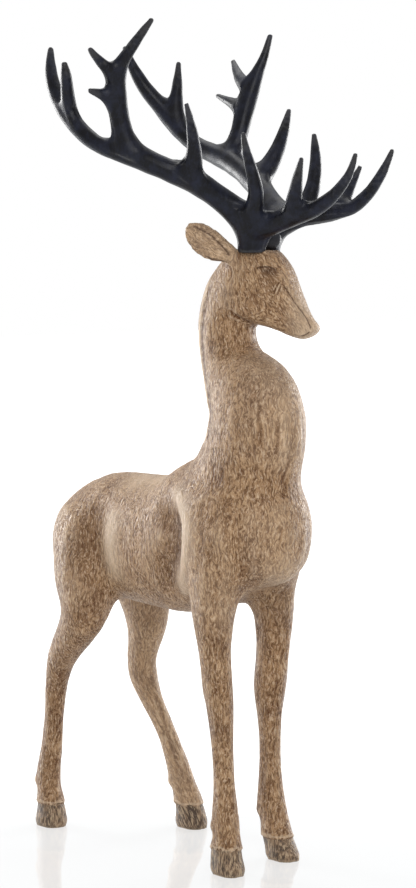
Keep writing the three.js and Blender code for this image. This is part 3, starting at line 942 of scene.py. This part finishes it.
# This mask holds the stain of the carved lines and sockets together with painted shade.
cut = attribute(tree, "shade")
broad = use(tree, strokes, {"Place": lie, "Width": 1.7, "Length": 6.5, "Sway": 9.0})
long = use(tree, strokes, {"Place": lie, "Width": 1.7, "Length": 28.0, "Sway": 6.0, "Shift": 3.0})
fine = use(tree, strokes, {"Place": lie, "Width": 1.1, "Length": 4.4, "Sway": 8.0, "Shift": 7.0})
warm = use(tree, blotches, {"Place": lie, "Size": 9.0, "Low": 0.35, "High": 0.7})
patch = use(tree, blotches, {"Place": lie, "Size": 26.0, "Low": 0.47, "High": 0.66})
edge_masks = use(tree, rubbed_and_lit, {"Edge": attribute(tree, "edge"), "Place": lie, "Breaks": 0.4})
# Mask, share and colour of every layer.
tone = layered(tree, blend(tree, warm["Mask"], TAN, TAN_WARM), [
    (patch["Mask"], 0.45, STAIN_AND_SHADE),
    (fine["Cut"], between(tree, patch["Mask"], 0.0, 1.0, *FINE_SHARE), STAIN_AND_SHADE),
    (broad["Cut"], 0.5, STAIN_AND_SHADE),
    (long["Cut"], 0.55, STAIN_AND_SHADE),
    (edge_masks["Recess"], 0.5, STAIN_AND_SHADE),
    # Stain in the carved lines, with painted shade behind the shoulder and on the sunk sides of the
    # steps.
    (cut, 0.8, STAIN_AND_SHADE),
    (between(tree, fine["Height"], *TIPS), 0.5, PALE),
    (edge_masks["Mask"], 0.5, PALE),
    (between(tree, attribute(tree, "swell"), *SWELLING), 0.35, PALE),
    # Painted highlights on the lit edges, the withers, the muzzle and the far hind leg; paler ears.
    (attribute(tree, "highlight_and_pale"), 0.7, PALE),
    # The darkest brown in the deepest lines, and over the strongest painted shade.
    (between(tree, cut, *DEEPEST), 0.8, LINE_AND_DEEP_SHADE),
])
tree.links.new(tone, shader["Base Color"])
print("coat painted in", len(tree.nodes), "nodes")

# %% The coat's relief and gloss
height = maths(tree, "MULTIPLY", fine["Height"], 0.4)
for stroke, share in ((broad["Height"], 0.5), (long["Height"], 0.4), (fine["Cut"], -0.4)):
    height = maths(tree, "MULTIPLY_ADD", stroke, share, height)
tree.links.new(bump(tree, height, 1.0, 0.55), shader["Normal"])
tree.links.new(between(tree, fine["Height"], 0.0, 1.0, *COAT_ROUGHNESS), shader["Roughness"])
shader["Specular IOR Level"].default_value = 0.25
shader["Sheen Weight"].default_value = 0.1
shader["Sheen Roughness"].default_value = 0.3
print("roughness between", COAT_ROUGHNESS)

# %% [markdown]
# ## The horn of the hooves
# The hooves are painted a duller brown than the coat, with dark upright lines and pale rims. They
# could share the coat's finish with other colours, but horn has longer lines and a smoother surface.
# So it gets a material of its own, made of the same groups.

# %% Horn
HORN = paint(132, 106, 80)
HORN_DARK = paint(68, 50, 34)
HORN_PALE = paint(184, 160, 130)
HORN_TIPS = (0.55, 0.85)

horn_finish, tree, shader = material("dark_horn")
lie = attribute(tree, "hair", "Vector")
lines = use(tree, strokes, {"Place": lie, "Width": 1.1, "Length": 9.0, "Sway": 3.0})
edge_masks = use(tree, rubbed_and_lit, {"Edge": attribute(tree, "edge"), "Place": lie, "Breaks": 0.5})
patch = use(tree, blotches, {"Place": lie, "Size": 8.0, "Low": 0.42, "High": 0.62})
tone = layered(tree, blend(tree, patch["Mask"], HORN, HORN_DARK), [
    (lines["Cut"], 0.95, HORN_DARK),
    (between(tree, lines["Height"], *HORN_TIPS), 0.7, HORN_PALE),
    (edge_masks["Mask"], 0.35, HORN_PALE),
])
tree.links.new(tone, shader["Base Color"])
tree.links.new(bump(tree, lines["Height"], 0.7, 0.5), shader["Normal"])
shader["Roughness"].default_value = 0.5
print("horn painted in", len(tree.nodes), "nodes")

# %% [markdown]
# ## The antlers' satin
# The antlers are nearly black with a blue cast, and their satin shows in soft bright streaks along
# the beams. A plain black would look like a hole in the picture. So two inks are mixed in patches,
# fine scratches lift the tone a little, and the roughness changes with the patches. The proud edges
# are painted a little paler, a painted highlight in place of the thin rim light along the tines.

# %% Satin of the antlers
INK = paint(16, 16, 21)
INK_BLUE = paint(33, 36, 50)
INK_HIGHLIGHT = paint(150, 148, 144)
SATIN_ROUGHNESS = (0.34, 0.48)

antler_finish, tree, shader = material("satin_antler")
metres = add(tree, "ShaderNodeTexCoord").outputs["Object"]
spot = add(tree, "ShaderNodeVectorMath", {0: metres, "Scale": 1 / MM}, operation="SCALE").outputs[0]
patch = use(tree, blotches, {"Place": spot, "Size": 11.0, "Low": 0.42, "High": 0.7})
edge_masks = use(tree, rubbed_and_lit, {"Edge": attribute(tree, "edge"), "Place": spot, "Breaks": 0.9})
scratch = use(tree, strokes, {"Place": spot, "Width": 1.4, "Length": 7.0, "Sway": 8.0})
tone = layered(tree, blend(tree, patch["Mask"], INK, INK_BLUE), [
    (scratch["Cut"], 0.35, INK_BLUE),
    # Painted highlight: the proud edges of the tines are lifted a little towards a pale grey.
    (edge_masks["Mask"], 0.1, INK_HIGHLIGHT),
])
tree.links.new(tone, shader["Base Color"])
tree.links.new(bump(tree, scratch["Height"], 0.2, 0.1), shader["Normal"])
tree.links.new(between(tree, patch["Mask"], 0.0, 1.0, *SATIN_ROUGHNESS), shader["Roughness"])
shader["Specular IOR Level"].default_value = 0.2
print("antlers painted in", len(tree.nodes), "nodes")

# %% [markdown]
# ## Dressing the pieces
# Coat and horn are one skin, so each face takes the finish that most of its corners call for. Then
# every piece is set to ride on the frame in place of its solid.

# %% Coat, horn and satin
coat.data.materials.append(coat_finish)
coat.data.materials.append(horn_finish)
sides = np.empty(len(coat.data.polygons), np.int32)
coat.data.polygons.foreach_get("loop_total", sides)
corners = np.empty(len(coat.data.loops), np.int32)
coat.data.loops.foreach_get("vertex_index", corners)
first = np.concatenate([[0], np.cumsum(sides)[:-1]])
face_horn = np.add.reduceat(horn[corners], first) / sides
coat.data.polygons.foreach_set("material_index", (face_horn > 0.5).astype(np.int32))
coat.data.update()
for antler in antlers:
    antler.data.materials.append(antler_finish)
print("faces of horn", int((face_horn > 0.5).sum()))

# %% Riding on the frame
for piece, node in ((coat, "body"), (antlers[0], "antler_right"), (antlers[1], "antler_left")):
    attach(piece, "root")
    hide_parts(node)
    print(piece.name, "stands for", node)

# %% [markdown]
# ## Table and studio
# The stag stands on a white, glossy table in a white room. A real sweep of paper would need a curved
# sheet, but one plane does: it glows a little, so that it is nearly white, and past the table's far
# end it glows fully and melts into the room. Two low lights behind the stag draw the bright rims, one
# above and behind it lights the back, and a soft one in front shapes the flanks.

# %% Table
TABLE_SIZE = 12
TABLE_TONE = (0.2, 0.203, 0.205, 1)
TABLE_TINT = (0.8, 0.95, 1, 1)
TABLE_GLOSS = 0.9
TABLE_ROUGHNESS = 0.03
TABLE_GLOW = 0.61
AWAY = (0.6428, 0.766, 0)
TABLE_END = 0.123
WHITE = (1, 1, 1, 1)

bpy.ops.object.select_all(action="DESELECT")
bpy.ops.mesh.primitive_plane_add(size=TABLE_SIZE, location=(0, 0, 0))
table = bpy.context.object
table.name = "table"
table_finish, tree, shader = material("white_table")
place = add(tree, "ShaderNodeTexCoord").outputs["Object"]
depth = add(tree, "ShaderNodeVectorMath", {0: place, 1: AWAY},
            operation="DOT_PRODUCT").outputs["Value"]
beyond = maths(tree, "GREATER_THAN", depth, TABLE_END)
glow = between(tree, beyond, 0.0, 1.0, TABLE_GLOW, 1.0)
tree.links.new(glow, shader["Emission Strength"])
shader["Base Color"].default_value = TABLE_TONE
shader["Roughness"].default_value = TABLE_ROUGHNESS
shader["Specular IOR Level"].default_value = TABLE_GLOSS
shader["Specular Tint"].default_value = TABLE_TINT
shader["Emission Color"].default_value = WHITE
table.data.materials.append(table_finish)
print("table", TABLE_SIZE, "m wide, its end", TABLE_END, "m behind the middle")

# %% Lamps
AIM = Vector((0.02, 0, 0.3))
# Place and size in metres, power in watts.
LAMPS = {
    "behind_left": ((-0.3, 1.72, 0.45), (0.7, 0.8), 23),
    "behind_right": ((1.65, 0.15, 0.45), (0.7, 0.8), 16),
    "above_behind": ((0.5, 0.6, 1.7), (1.4, 1.0), 10),
    "above_front": ((-0.9, -1.5, 1.3), (1.2, 1.2), 18),
}
for name, (place, (wide, tall), power) in LAMPS.items():
    lamp = bpy.data.lights.new(name, "AREA")
    lamp.shape = "RECTANGLE"
    lamp.size, lamp.size_y, lamp.energy = wide, tall, power
    holder = bpy.data.objects.new(name, lamp)
    holder.location = place
    holder.rotation_euler = (AIM - Vector(place)).to_track_quat("-Z", "Y").to_euler()
    bpy.context.scene.collection.objects.link(holder)
print("lamps", list(LAMPS))

# %% Room
ROOM_FRONT = 0.5
ROOM_BEHIND = 0.7
ROOM_TURN = (-0.5, 0.9)

world = bpy.data.worlds.new("white_room")
world.use_nodes = True
bpy.context.scene.world = world
tree = world.node_tree
tree.nodes.clear()
straight = add(tree, "ShaderNodeLightPath").outputs["Is Camera Ray"]
towards = add(tree, "ShaderNodeTexCoord").outputs["Generated"]
behind = add(tree, "ShaderNodeVectorMath", {0: towards, 1: (GAZE.x, GAZE.y, 0)},
             operation="DOT_PRODUCT").outputs["Value"]
strength = between(tree, behind, *ROOM_TURN, ROOM_FRONT, ROOM_BEHIND)
room = add(tree, "ShaderNodeBackground", {"Color": WHITE, "Strength": strength})
seen = add(tree, "ShaderNodeBackground", {"Color": WHITE, "Strength": 1.0})
mix = add(tree, "ShaderNodeMixShader", {0: straight, 1: room.outputs[0], 2: seen.outputs[0]})
add(tree, "ShaderNodeOutputWorld", {"Surface": mix.outputs[0]})
bpy.context.scene.view_settings.view_transform = "Standard"
print("room lit from", ROOM_FRONT, "in front to", ROOM_BEHIND, "behind")
